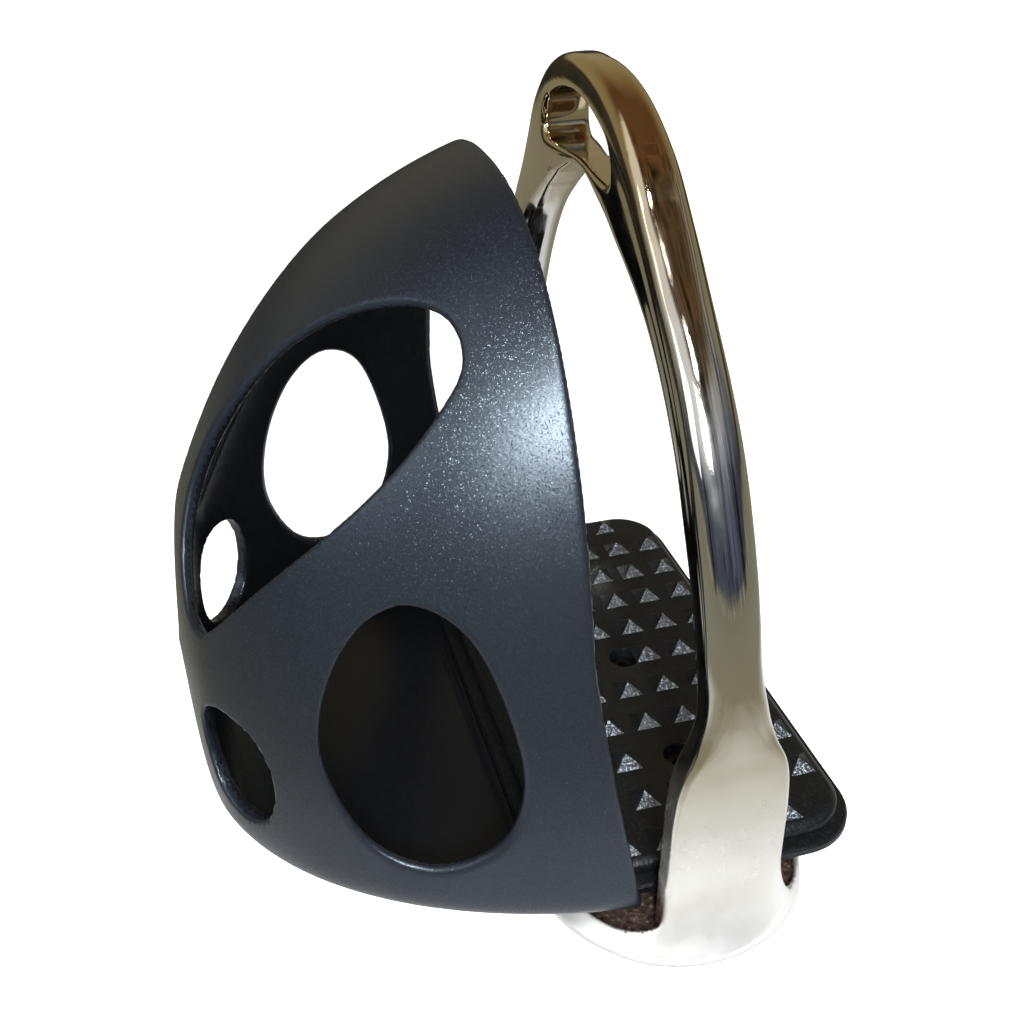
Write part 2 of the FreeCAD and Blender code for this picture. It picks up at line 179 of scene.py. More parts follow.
class Table:
    """A smooth curve through (key, value) rows, read by numpy."""

    def __init__(self, rows):
        keys, values = zip(*rows)
        self.keys, self.values = np.array(keys, float), np.array(values, float)
        widths = np.diff(self.keys)
        slopes = np.diff(self.values) / widths
        inner = np.where(slopes[1:] * slopes[:-1] > 0,
                         2 * slopes[1:] * slopes[:-1] / (slopes[1:] + slopes[:-1] + 1e-12), 0)
        self.tangents = np.concatenate([[slopes[0]], inner, [slopes[-1]]])

    def __call__(self, key):
        key = np.clip(key, self.keys[0], self.keys[-1])
        i = np.clip(np.searchsorted(self.keys, key) - 1, 0, len(self.keys) - 2)
        width = self.keys[i + 1] - self.keys[i]
        u = (key - self.keys[i]) / width
        a, b = self.values[i], self.values[i + 1]
        m, n = self.tangents[i] * width, self.tangents[i + 1] * width
        return ((2 * u ** 3 - 3 * u ** 2 + 1) * a + (u ** 3 - 2 * u ** 2 + u) * m
                + (-2 * u ** 3 + 3 * u ** 2) * b + (u ** 3 - u ** 2) * n)


class Outline:
    """A closed smooth outline round its middle; negative inside, roughly in millimetres."""

    def __init__(self, points):
        points = np.array(points, float)
        self.middle = (points.max(axis=0) + points.min(axis=0)) / 2
        fine = []
        count = len(points)
        for i in range(count):
            fine.extend(spline_span(*(points[(i + k) % count] for k in (-1, 0, 1, 2))))
        away = np.array(fine) - self.middle
        angle = np.arctan2(away[:, 1], away[:, 0])
        order = np.argsort(angle)
        self.angle, self.radius = angle[order], np.linalg.norm(away, axis=1)[order]
        self.turn = np.linspace(-math.pi, math.pi, 721)
        self.slope = np.gradient(self.radius_at(self.turn), 2 * math.pi / 720)

    def radius_at(self, angle):
        return np.interp(angle, self.angle, self.radius, period=2 * math.pi)

    def __call__(self, u, v):
        u, v = u - self.middle[0], v - self.middle[1]
        angle = np.arctan2(v, u)
        radius = self.radius_at(angle)
        slope = np.interp(angle, self.turn, self.slope)
        return (np.hypot(u, v) - radius) * radius / np.hypot(radius, slope)


# ---------------------------------------------------------------- frame: arch, legs and base

CENTRE_LINE = [(0, 129), (9, 127.6), (18, 122.8), (25, 116.6), (32, 110), (38, 103.8),
               (44, 96.4), (49.5, 88), (54, 79), (57.8, 70.5), (60.6, 62), (62.4, 53),
               (63.2, 44), (63.5, 34), (63.6, 20), (63.6, 0), (63.6, -20)]


def fine_line(points):
    """The centre line in short steps; its mirror image carries it smoothly over the crown."""
    points = np.array(points, float)
    mirror = points[1] * np.array([-1, 1])
    padded = np.vstack([mirror, points, 2 * points[-1] - points[-2]])
    out = []
    for i in range(1, len(padded) - 2):
        out.extend(spline_span(*padded[i - 1:i + 3]))
    return np.array(out)


LINE = fine_line(CENTRE_LINE)
LINE_LENGTH = np.concatenate([[0], np.cumsum(np.linalg.norm(np.diff(LINE, axis=0), axis=1))])

# The arch's section by distance along the centre line from the crown: half its thickness
# in the plane of the arch, half its depth, how far its middle lies towards the heel, and
# the exponent of its superellipse.
HALF_THICKNESS = Table([(0, 9.0), (12, 9.2), (22, 8.3), (32, 6.5), (44, 5.2), (70, 5.0),
                        (100, 4.9), (108, 4.2), (118, 2.9), (130, 2.4), (170, 2.4)])
HALF_DEPTH = Table([(0, 4.1), (14, 4.6), (30, 5.0), (50, 5.0), (75, 5.2), (95, 5.1),
                    (102, 5.2), (107.5, 5.7), (113.5, 7.1), (119.5, 9.4), (124, 10.2),
                    (131, 10.6), (170, 10.9)])
HEELWARD = Table([(0, -2.8), (14, -2.2), (40, -0.8), (75, -0.1), (97, 0), (107.5, 0.9),
                  (119.5, 1.4), (170, 1.4)])
SQUARENESS = Table([(0, 4.2), (24, 3.8), (50, 2.4), (100, 2.2), (112, 3.2), (122, 5.5),
                    (170, 7.0)])
# From here on down the legs the section turns into a box with round corners.
FOOT_START, FOOT_BLEND, FOOT_CORNER = 110.0, 8.0, 0.4


def nearest_on_line(x, z):
    """How far along the centre line the nearest place is, and how far out from the line."""
    along = np.zeros(len(x))
    offset = np.zeros(len(x))
    starts, spans = LINE[:-1], np.diff(LINE, axis=0)
    squares = (spans ** 2).sum(axis=1)
    for begin in range(0, len(x), 20000):
        part = slice(begin, begin + 20000)
        px, pz = x[part, None] - starts[:, 0], z[part, None] - starts[:, 1]
        share = np.clip((px * spans[:, 0] + pz * spans[:, 1]) / squares, 0, 1)
        dx, dz = px - share * spans[:, 0], pz - share * spans[:, 1]
        distance = dx * dx + dz * dz
        best = distance.argmin(axis=1)
        rows = np.arange(len(best))
        along[part] = LINE_LENGTH[best] + share[rows, best] * np.sqrt(squares[best])
        side = dz[rows, best] * spans[best, 0] - dx[rows, best] * spans[best, 1]
        offset[part] = np.sign(side) * np.sqrt(distance[rows, best])
    return along, offset


# Distances to the centre line, worked out once on a grid and read between its points.
MAP_STEP, MAP_LOW = 0.3, (-0.9, -9.0)
MAP_COUNT = (270, 510)
MAP_X, MAP_Z = np.meshgrid(MAP_LOW[0] + MAP_STEP * np.arange(MAP_COUNT[0]),
                           MAP_LOW[1] + MAP_STEP * np.arange(MAP_COUNT[1]), indexing="ij")
MAPS = [m.reshape(MAP_COUNT) for m in nearest_on_line(MAP_X.ravel(), MAP_Z.ravel())]


def read_map(table, x, z):
    u = np.clip((x - MAP_LOW[0]) / MAP_STEP, 0, MAP_COUNT[0] - 1.001)
    v = np.clip((z - MAP_LOW[1]) / MAP_STEP, 0, MAP_COUNT[1] - 1.001)
    i, j = u.astype(int), v.astype(int)
    u, v = u - i, v - j
    return ((table[i, j] * (1 - u) + table[i + 1, j] * u) * (1 - v)
            + (table[i, j + 1] * (1 - u) + table[i + 1, j + 1] * u) * v)


def arch_field(points):
    """Distance to the arch and legs: a superellipse swept along the centre line, which
    turns into a box with round corners at the foot."""
    x, y, z = np.abs(points[:, 0]), points[:, 1], points[:, 2]
    along, offset = read_map(MAPS[0], x, z), read_map(MAPS[1], x, z)
    a, b, n = HALF_THICKNESS(along), HALF_DEPTH(along), SQUARENESS(along)
    u, v = np.abs(offset) / a, np.abs(y - HEELWARD(along)) / b
    rho = np.maximum((u ** n + v ** n) ** (1 / n), 1e-4)
    slope_u = (u / rho) ** (n - 1) / a
    slope_v = (v / rho) ** (n - 1) / b
    oval = (rho - 1) / np.maximum(np.hypot(slope_u, slope_v), 1 / 12)
    corner = FOOT_CORNER * np.minimum(a, b)
    over_u = u * a - a + corner
    over_v = v * b - b + corner
    square = (np.hypot(np.maximum(over_u, 0), np.maximum(over_v, 0))
              + np.minimum(np.maximum(over_u, over_v), 0) - corner)
    return smooth_step(oval, square, (along - FOOT_START) / FOOT_BLEND)


END_RADIUS, END_CENTRE, BASE_MIDDLE = 26.0, 46.0, -1.6
WELL_RADIUS, WELL_MIDDLE = 23.5, -0.4
FLOOR, DEEP_FLOOR = 2.4, 0.9
EDGE, SLOPE, LIP = 0.9, 0.85, 5.6
DEEP_START, DEEP_RUN = 47.0, 5.0
ROOT_INSIDE, ROOT_MIDDLE, ROOT_HALF = 61.4, 1.3, 11.2
GAP_OUTSIDE, GAP_HEELWARD, GAP_FLOOR = 55.0, -5.0, 2.0
WELL_TOP = 14.0
LEG_FILLET = 11.0
# The leather eye: an arc above, a nearly level line below, and an end to each side.
EYE_MIDDLE, EYE_RADIUS, EYE_BOTTOM, EYE_DIP, EYE_HALF_WIDTH = 98.5, 34.0, 121.6, 0.03, 18.2


def stadium(points, radius, middle):
    """Distance in plan to a long shape with round ends."""
    x = np.maximum(np.abs(points[:, 0]) - END_CENTRE, 0.0)
    return np.hypot(x, points[:, 1] - middle) - radius


def well_field(points, arch):
    """The hollow in the base's top, cut back round the root of each leg."""
    x, y, z = np.abs(points[:, 0]), points[:, 1], points[:, 2]
    floor = smooth_step(FLOOR, DEEP_FLOOR, (x - DEEP_START) / DEEP_RUN)
    # The lip stops short of the toe side, where the cage's floor passes over the base.
    lip_gap = keep(keep(x - GAP_OUTSIDE, y - GAP_HEELWARD, 1.0), GAP_FLOOR - z, 1.0)
    well = join(stadium(points, WELL_RADIUS, WELL_MIDDLE), lip_gap, 1.0)
    well = keep(keep(well, floor - z, 1.2), z - WELL_TOP, 1.0)
    root = keep(ROOT_INSIDE - x, np.abs(y - ROOT_MIDDLE) - ROOT_HALF, 3.0)
    return keep(keep(well, -root, 2.5), -arch, 0.8)


def frame_field(points):
    """Distance to the whole iron: arch, legs, base, wells and leather eye."""
    x, z = np.abs(points[:, 0]), points[:, 2]
    arch = arch_field(points)
    plan = stadium(points, END_RADIUS, BASE_MIDDLE)
    # The top of the base slopes up from its edge towards the legs.
    slope = (z - EDGE + SLOPE * np.minimum(plan, 0)) / math.hypot(1, SLOPE)
    disc = keep(plan, keep(slope, z - LIP, 3.0), 0.6)
    # Low down, the fillet between leg and base may not bulge past the base's edge.
    bulge = 0.3 + 0.5 * np.maximum(z - 6.0, 0)
    body = keep(join(arch, disc, LEG_FILLET), plan - bulge, 0.6)
    body = keep(body, -well_field(points, arch), 0.8)
    body = keep(body, -z, 0.6)
    eye = keep(np.hypot(x, z - EYE_MIDDLE) - EYE_RADIUS, EYE_BOTTOM - z - EYE_DIP * x, 2.4)
    eye = keep(eye, x - EYE_HALF_WIDTH, 4.0)
    return keep(body, -eye, 1.5)


# ---------------------------------------------------------------- toe cage

WALL, NOSE_WALL = 2.3, 3.6
NOSE_Y, MOUTH_Y = -85.1, 8.24
RIM_Y = -21.3
NOSE_Z = 36.5
HALF_WIDTH, TOP, WIDEST, BOTTOM = 63.3, 124.1, 20.5, 2.8
SIDE_TAPER, TOP_TAPER, FLOOR_TAPER = 0.76, 0.976, 0.19
TOP_EXPONENT, FLOOR_EXPONENT = 2.4, 6.0
# The wall thickens over this stretch towards the nose.
NOSE_WALL_START, NOSE_WALL_RUN = -58, 18
# Below this height the mouth's edge runs back towards the heel, over this drop.
RIM_TURN, RIM_DROP, RIM_BACK, RIM_CURVE = 62, 57, 9.5, 1.3
# The windows are cut from outside as far in as these depths, with these rolled edges.
SIDE_DEPTH, TOP_DEPTH, NOSE_DEPTH = 25, 20, -20
SIDE_EDGE, TOP_EDGE, NOSE_EDGE = 1.5, 1.5, 0.8
RELIEF_INSIDE, RELIEF_OUTSIDE, RELIEF_TOP, RELIEF_TOE = 54, 74, 5.0, 27.0
TONGUE_HALF, TONGUE_MIDDLE, TONGUE_REACH, TONGUE_HEIGHT = 44.0, 7.5, 21.0, 3.75
RIM_SHARE = math.sqrt(1 - ((RIM_Y - MOUTH_Y) / (NOSE_Y - MOUTH_Y)) ** 2)


def cage_shape(points):
    """Below zero inside the cage's outer form, but not yet a distance."""
    x, y, z = np.abs(points[:, 0]), points[:, 1], points[:, 2]
    s = (y - MOUTH_Y) / (NOSE_Y - MOUTH_Y)
    r = np.sqrt(np.maximum(1 - s * s, 0) + 2e-3) / RIM_SHARE
    a = HALF_WIDTH * r ** SIDE_TAPER
    middle = NOSE_Z + (WIDEST - NOSE_Z) * np.minimum(r, 1.0)
    top = NOSE_Z + (TOP - NOSE_Z) * r ** TOP_TAPER
    bottom = NOSE_Z - (NOSE_Z - BOTTOM) * np.minimum(r, 1.0) ** FLOOR_TAPER
    above = z > middle
    h = np.where(above, top - middle, middle - bottom)
    n = np.where(above, TOP_EXPONENT, FLOOR_EXPONENT)
    u, v = x / a, np.abs(z - middle) / h
    return (u ** n + v ** n) ** (1 / n) - 1


def cage_outside(points):
    value = cage_shape(points)
    slope = np.linalg.norm(gradient(cage_shape, points, value, 0.1), axis=1)
    ahead = NOSE_Y - points[:, 1]
    return keep(value / np.maximum(slope, 0.008), ahead, 5.0)


SIDE_WINDOW = Outline([(-48, 70.5), (-40, 66), (-35, 53), (-33, 38), (-37, 26), (-47, 20),
                       (-57, 24), (-63, 38), (-62, 52), (-56, 65)])
NOSE_WINDOW = Outline([(0.0, 11.5), (7.5, 9.0), (10.5, 1.0), (8.0, -8.0), (1.5, -11.5),
                       (-6.5, -8.5), (-10.5, 0.0), (-7.5, 8.0)])
TOP_WINDOW_PLACES = [(37, -36, 104), (31, -37, 109), (24, -43, 109), (16, -54, 104),
                     (10, -65, 94), (6.5, -76, 79), (8.5, -80, 66), (14, -81, 57.5),
                     (20, -81, 54.5), (26, -79, 56), (33, -71, 66), (39, -59, 79),
                     (41, -49, 89), (40, -41, 98)]
TOP_WINDOW_WAY = Vector((0.42, -0.60, 0.68)).normalized()
NOSE_WINDOW_WAY = Vector((0.52, -0.85, 0.0)).normalized()


def plane_axes(way):
    level = Vector((0, 0, 1)).cross(way).normalized()
    return np.array(level), np.array(way.cross(level))


TOP_LEVEL, TOP_UP = plane_axes(TOP_WINDOW_WAY)
NOSE_LEVEL, NOSE_UP = plane_axes(NOSE_WINDOW_WAY)
TOP_WINDOW = Outline([(np.dot(p, TOP_LEVEL), np.dot(p, TOP_UP)) for p in TOP_WINDOW_PLACES])
NOSE_CENTRE = np.array([31.0, -78.0, 30.0])


def rim_plane(z):
    """How far towards the heel the cage reaches at each height."""
    share = np.clip((RIM_TURN - z) / RIM_DROP, 0, 1.1)
    return RIM_Y + RIM_BACK * share ** RIM_CURVE


def cage_field(points):
    """Distance to the cage: shell, windows, mouth, reliefs round the base, and tongue."""
    mirrored = points.copy()
    mirrored[:, 0] = np.abs(points[:, 0])
    x, y, z = mirrored[:, 0], mirrored[:, 1], mirrored[:, 2]
    outside = cage_outside(mirrored)
    wall = smooth_step(WALL, NOSE_WALL, (NOSE_WALL_START - y) / NOSE_WALL_RUN)
    shell = keep(outside, -(outside + wall), 0.8)
    side = keep(SIDE_WINDOW(y, z), SIDE_DEPTH - x, 1.0)
    top = TOP_WINDOW(mirrored @ TOP_LEVEL, mirrored @ TOP_UP)
    top = keep(top, TOP_DEPTH - mirrored @ np.array(TOP_WINDOW_WAY), 1.0)
    from_nose = mirrored - NOSE_CENTRE
    nose = NOSE_WINDOW(from_nose @ NOSE_LEVEL, from_nose @ NOSE_UP)
    nose = keep(nose, NOSE_DEPTH - from_nose @ np.array(NOSE_WINDOW_WAY), 1.0)
    for window, edge in ((side, SIDE_EDGE), (top, TOP_EDGE), (nose, NOSE_EDGE)):
        shell = keep(shell, -window, edge)
    shell = keep(shell, y - rim_plane(z), 1.5)
    relief = keep(keep(x - RELIEF_OUTSIDE, RELIEF_INSIDE - x, 1.0),
                  keep(z - RELIEF_TOP, -y - RELIEF_TOE, 1.0), 1.0)
    shell = keep(shell, -relief, 0.8)
    tongue = keep(keep(x - TONGUE_HALF, np.abs(y + TONGUE_MIDDLE) - TONGUE_REACH, 2.0),
                  np.abs(z - TONGUE_HEIGHT) - 1.0, 0.8)
    return join(shell, tongue, 2.0)


# ---------------------------------------------------------------- materials

def tree(name):
    material = bpy.data.materials.new(name)
    material.use_nodes = True
    shader = material.node_tree.nodes["Principled BSDF"]
    return material, material.node_tree, shader


def add(tree_, kind, **inputs):
    node = tree_.nodes.new(kind)
    for key, value in inputs.items():
        if key in node.inputs:
            node.inputs[key].default_value = value
        else:
            setattr(node, key, value)
    return node


def ramp(tree_, source, stops):
    """A colour ramp through (position, colour) stops, read at source."""
    node = tree_.nodes.new("ShaderNodeValToRGB")
    elements = node.color_ramp.elements
    while len(elements) < len(stops):
        elements.new(0.5)
    for element, (position, color) in zip(elements, stops):
        element.position = position
        element.color = color if len(color) == 4 else (*color, 1.0)
    tree_.links.new(source, node.inputs[0])
    return node


def grey(value):
    return (value, value, value, 1.0)


def mapped(tree_, source, start, end, low=0.0, high=1.0, kind="LINEAR"):
    """Takes source from the range start to end into the range low to high."""
    node = add(tree_, "ShaderNodeMapRange", interpolation_type=kind)
    for socket, value in (("From Min", start), ("From Max", end), ("To Min", low),
                          ("To Max", high)):
        node.inputs[socket].default_value = value
    tree_.links.new(source, node.inputs["Value"])
    return node.outputs[0]


def bumped(tree_, source, strength, distance):
    """A bump node whose height is source."""
    node = add(tree_, "ShaderNodeBump", Strength=strength, Distance=distance)
    tree_.links.new(source, node.inputs["Height"])
    return node


def object_coordinates(tree_):
    return tree_.nodes.new("ShaderNodeTexCoord").outputs["Object"]


def chrome_material():
    """Polished metal, duller low down, with painted light in its colour: painted reflections from
    gold-brown at the crown to pale and less metallic at the base, painted contact shade at its
    lowest edge, and painted dark shade in the wells where the mesh says.
    """
    material, t, shader = tree("polished_metal")
    place = object_coordinates(t)
    axes = t.nodes.new("ShaderNodeSeparateXYZ")
    t.links.new(place, axes.inputs[0])
    cloud = add(t, "ShaderNodeTexNoise", Scale=38.0, Detail=4.0, Roughness=0.55)
    t.links.new(place, cloud.inputs["Vector"])
    wobble = add(t, "ShaderNodeMath", operation="MULTIPLY_ADD")
    wobble.inputs[1].default_value = 0.022
    t.links.new(cloud.outputs["Fac"], wobble.inputs[0])
    t.links.new(axes.outputs["Z"], wobble.inputs[2])
    height = mapped(t, wobble.outputs[0], 0.0, 0.15)
    # Painted reflection: the colour goes from pale near the base through olive and grey bands up
    # to gold-brown at the crown, as the reflected room would colour it.
    painted_reflection_tint = ramp(t, height, [
        (0.0, (0.84, 0.85, 0.85)), (0.14, (0.80, 0.80, 0.78)), (0.32, (0.70, 0.67, 0.58)),
        (0.42, (0.62, 0.60, 0.53)), (0.55, (0.62, 0.63, 0.64)), (0.75, (0.56, 0.54, 0.50)),
        (0.88, (0.55, 0.47, 0.34)), (1.0, (0.62, 0.50, 0.30))])
    # Painted contact shade: the base's lowest edge is darker, where it meets what it stands on.
    edge = mapped(t, axes.outputs["Z"], 0.0002, 0.0013, 0.60, 1.0, "SMOOTHSTEP")
    metal = add(t, "ShaderNodeVectorMath", operation="SCALE")
    t.links.new(painted_reflection_tint.outputs[0], metal.inputs[0])
    t.links.new(edge, metal.inputs["Scale"])
    # Painted shade in the wells under the pad: rough dark brown metal with pale painted glints.
    painted_well_shade = add(t, "ShaderNodeAttribute", attribute_name="casting_and_painted_shade")
    grain = add(t, "ShaderNodeTexNoise", Scale=900.0, Detail=3.0)
    t.links.new(place, grain.inputs["Vector"])
    painted_well_shade_colour = ramp(t, grain.outputs["Fac"], [
        (0.30, (0.030, 0.018, 0.014)), (0.60, (0.15, 0.10, 0.085)), (0.75, (0.60, 0.55, 0.52))])
    color = add(t, "ShaderNodeMix", data_type="RGBA")
    t.links.new(painted_well_shade.outputs["Fac"], color.inputs["Factor"])
    t.links.new(metal.outputs[0], color.inputs["A"])
    t.links.new(painted_well_shade_colour.outputs[0], color.inputs["B"])
    t.links.new(color.outputs["Result"], shader.inputs["Base Color"])
    # Painted reflection: less metallic low down, so the base shows more of its pale colour and
    # looks whiter.
    painted_pale_base = ramp(t, height, [(0.0, grey(0.72)), (0.12, grey(0.74)), (0.22, grey(0.92)),
                              (0.32, grey(1.0))])
    t.links.new(painted_pale_base.outputs[0], shader.inputs["Metallic"])
    haze = add(t, "ShaderNodeTexNoise", Scale=210.0, Detail=3.0)
    t.links.new(place, haze.inputs["Vector"])
    polish = mapped(t, haze.outputs["Fac"], 0.35, 0.75, 0.05, 0.16)
    satin = ramp(t, height, [(0.0, grey(0.28)), (0.14, grey(0.24)), (0.30, grey(0.12)),
                             (0.42, grey(0.03)), (0.55, grey(0.0))])
    dull = add(t, "ShaderNodeMath", operation="ADD")
    t.links.new(polish, dull.inputs[0])
    t.links.new(satin.outputs[0], dull.inputs[1])
    matt = add(t, "ShaderNodeMath", operation="MULTIPLY_ADD")
    matt.inputs[1].default_value = 0.25
    t.links.new(painted_well_shade.outputs["Fac"], matt.inputs[0])
    t.links.new(dull.outputs[0], matt.inputs[2])
    t.links.new(matt.outputs[0], shader.inputs["Roughness"])
    waves = add(t, "ShaderNodeTexNoise", Scale=95.0, Detail=2.0)
    t.links.new(place, waves.inputs["Vector"])
    bump = bumped(t, waves.outputs["Fac"], 0.12, 0.0006)
    pits = bumped(t, grain.outputs["Fac"], 0.0, 0.0004)
    depth = add(t, "ShaderNodeMath", operation="MULTIPLY")
    depth.inputs[1].default_value = 0.6
    t.links.new(painted_well_shade.outputs["Fac"], depth.inputs[0])
    t.links.new(depth.outputs[0], pits.inputs["Strength"])
    t.links.new(bump.outputs[0], pits.inputs["Normal"])
    t.links.new(pits.outputs[0], shader.inputs["Normal"])
    return material


def plastic_material(name, dark, fleck, rough_low, rough_high, shine):
    """Satin black with a fine fleck whose grains each lean their own way."""
    material, t, shader = tree(name)
    place = object_coordinates(t)
    flecks = add(t, "ShaderNodeTexVoronoi", Scale=6500.0)
    t.links.new(place, flecks.inputs["Vector"])
    parts = t.nodes.new("ShaderNodeSeparateColor")
    t.links.new(flecks.outputs["Color"], parts.inputs[0])
    share = ramp(t, parts.outputs[0], [(0.0, grey(0.0)), (0.60, grey(0.0)), (0.95, grey(1.0))])
    color = add(t, "ShaderNodeMix", data_type="RGBA")
    color.inputs["A"].default_value = (*dark, 1)
    color.inputs["B"].default_value = (*fleck, 1)
    t.links.new(share.outputs[0], color.inputs["Factor"])
    t.links.new(color.outputs["Result"], shader.inputs["Base Color"])
    tilt = add(t, "ShaderNodeMath", operation="MULTIPLY")
    tilt.inputs[1].default_value = 0.46
    t.links.new(share.outputs[0], tilt.inputs[0])
    shader.inputs["Specular IOR Level"].default_value = shine
    # Painted reflection: the bluish specular tint colours the plastic's sheen as bluish light
    # would.
    shader.inputs["Specular Tint"].default_value = (0.72, 0.87, 1.0, 1)
    cloud = add(t, "ShaderNodeTexNoise", Scale=60.0, Detail=3.0)
    t.links.new(place, cloud.inputs["Vector"])
    satin = mapped(t, cloud.outputs["Fac"], 0.0, 1.0, rough_low, rough_high)
    t.links.new(satin, shader.inputs["Roughness"])
    grain = add(t, "ShaderNodeTexNoise", Scale=1500.0, Detail=2.0)
    t.links.new(place, grain.inputs["Vector"])
    bump = bumped(t, grain.outputs["Fac"], 0.12, 0.0002)
    lean = add(t, "ShaderNodeVectorMath", operation="SUBTRACT")
    lean.inputs[1].default_value = (0.5, 0.5, 0.5)
    t.links.new(flecks.outputs["Color"], lean.inputs[0])
    scaled = add(t, "ShaderNodeVectorMath", operation="SCALE")
    t.links.new(lean.outputs[0], scaled.inputs[0])
    t.links.new(tilt.outputs[0], scaled.inputs["Scale"])
    total = add(t, "ShaderNodeVectorMath", operation="ADD")
    t.links.new(bump.outputs[0], total.inputs[0])
    t.links.new(scaled.outputs[0], total.inputs[1])
    unit = add(t, "ShaderNodeVectorMath", operation="NORMALIZE")
    t.links.new(total.outputs[0], unit.inputs[0])
    t.links.new(unit.outputs[0], shader.inputs["Normal"])
    return material


def rubber_material(name, shades, shine, rough_low, rough_high, relief):
    """Black rubber, with its specular level, its roughness and the depth of its grain."""
    material, t, shader = tree(name)
    place = object_coordinates(t)
    speck = add(t, "ShaderNodeTexNoise", Scale=1700.0, Detail=2.0)
    t.links.new(place, speck.inputs["Vector"])
    color = ramp(t, speck.outputs["Fac"], list(zip((0.0, 0.55, 0.72), shades)))
    t.links.new(color.outputs[0], shader.inputs["Base Color"])
    gloss = mapped(t, speck.outputs["Fac"], 0.0, 1.0, rough_low, rough_high)
    t.links.new(gloss, shader.inputs["Roughness"])
    shader.inputs["Specular IOR Level"].default_value = shine
    # Painted highlight: the bluish specular tint gives the rubber's glints a bluish colour.
    shader.inputs["Specular Tint"].default_value = (0.80, 0.91, 1.0, 1)
    bump = bumped(t, speck.outputs["Fac"], relief, 0.0005)
    t.links.new(bump.outputs[0], shader.inputs["Normal"])
    return material


def steel_material():
    """Dark steel for the screws and washers; its near-black colour is partly painted shade for
    the deep screw holes.
    """
    material, t, shader = tree("steel")
    shader.inputs["Metallic"].default_value = 1.0
    place = object_coordinates(t)
    wear = add(t, "ShaderNodeTexNoise", Scale=700.0, Detail=3.0)
    t.links.new(place, wear.inputs["Vector"])
    color = ramp(t, wear.outputs["Fac"], [(0.3, (0.05, 0.05, 0.052)), (0.7, (0.11, 0.11, 0.115))])
    t.links.new(color.outputs[0], shader.inputs["Base Color"])
    gloss = mapped(t, wear.outputs["Fac"], 0.0, 1.0, 0.25, 0.45)
    t.links.new(gloss, shader.inputs["Roughness"])
    return material


CHROME = chrome_material()
PLASTIC = plastic_material("black_plastic", (0.0045, 0.006, 0.010), (0.008, 0.011, 0.018),
                           0.32, 0.38, 0.62)
SHADED_INSIDE_PLASTIC = plastic_material("black_plastic_inside_shaded", (0.003, 0.0035, 0.005), (0.006, 0.007, 0.009),
                          0.20, 0.28, 0.35)
RUBBER = rubber_material("black_rubber", [(0.002, 0.002, 0.0025), (0.003, 0.0035, 0.0045),
                                          (0.010, 0.012, 0.016)], 0.35, 0.35, 0.55, 0.25)
# Painted light: the stud faces towards +X, which the lamps light, take a lit copy of the rubber,
# glossier and with pale painted specks.
LIT_STUD_FACES = rubber_material("black_rubber_studs_painted_lit", [(0.004, 0.005, 0.008), (0.03, 0.036, 0.046),
                                               (0.42, 0.47, 0.55)], 1.0, 0.24, 0.44, 1.0)
LIT_STUD_FACES.node_tree.nodes["Principled BSDF"].inputs["IOR"].default_value = 1.8
STEEL = steel_material()


# ---------------------------------------------------------------- tread pad

PAD_WIDTH, PAD_LENGTH, PAD_CORNER, PAD_MIDDLE = 117.0, 63.0, 12.0, 3.5
SCREWS = [(-32.0, 7.0), (0.0, 7.0), (32.0, 7.0)]
STUD_ACROSS, STUD_ALONG, STUD_BASE, STUD_HEIGHT = 10.3, 8.05, 5.4, 2.0
TREAD_TOP = 10.7
# The pad's side from the underside up: how far in from the flange's edge, and the height.
PAD_SIDE = [(1.2, 4.8), (0.35, 5.0), (0.0, 5.5), (0.0, 6.7), (0.35, 7.2), (1.1, 7.4),
            (3.1, 7.45), (3.6, 7.7), (3.4, 8.05), (2.6, 8.2), (2.3, 8.5), (2.3, 9.4), (2.6, 9.9),
            (3.6, 10.6), (4.0, 10.7)]
# Columns of studs to each side of the middle one, rows, and where the first row lies,
# counted in rows. No stud stands nearer than STUD_FREE to the middle of a screw hole.
STUD_COLUMNS, STUD_ROWS, FIRST_ROW, STUD_FREE = 5, 7, -2.5, 5.0
SMOOTH_ANGLE = math.radians(32)
CORNER_STEPS = 14
HOLE_STEPS = 32


def rounded_loop(inset, height):
    half_x, half_y = PAD_WIDTH / 2 - inset, PAD_LENGTH / 2 - inset
    radius = PAD_CORNER - inset
    loop = []
    for quarter, (sx, sy) in enumerate(((1, 1), (-1, 1), (-1, -1), (1, -1))):
        for step in range(CORNER_STEPS + 1):
            angle = math.pi / 2 * (quarter + step / CORNER_STEPS)
            loop.append((sx * (half_x - radius) + radius * math.cos(angle),
                         PAD_MIDDLE + sy * (half_y - radius) + radius * math.sin(angle), height))
    return loop


def circle(centre, radius, height, steps=HOLE_STEPS):
    return [(centre[0] + radius * math.cos(2 * math.pi * k / steps),
             centre[1] + radius * math.sin(2 * math.pi * k / steps), height)
            for k in range(steps)]


def add_loops(bm, loops, flip=False):
    """Skins consecutive loops of equal length and returns their vertices."""
    rings = [[bm.verts.new(Vector(p) * MM) for p in loop] for loop in loops]
    for lower, upper in zip(rings, rings[1:]):
        count = len(lower)
        for k in range(count):
            face = [lower[k], lower[(k + 1) % count], upper[(k + 1) % count], upper[k]]
            bm.faces.new(face[::-1] if flip else face)
    return rings


def fill_between(bm, rings, up):
    """Fills the flat face that lies inside the first ring and outside the others."""
    edges = []
    for ring in rings:
        for k, vert in enumerate(ring):
            other = ring[(k + 1) % len(ring)]
            edges.append(bm.edges.get((vert, other)) or bm.edges.new((vert, other)))
    made = bmesh.ops.triangle_fill(bm, edges=edges, use_beauty=True)
    for face in made["geom"]:
        if isinstance(face, bmesh.types.BMFace):
            face.normal_update()
            if (face.normal.z > 0) != up:
                face.normal_flip()


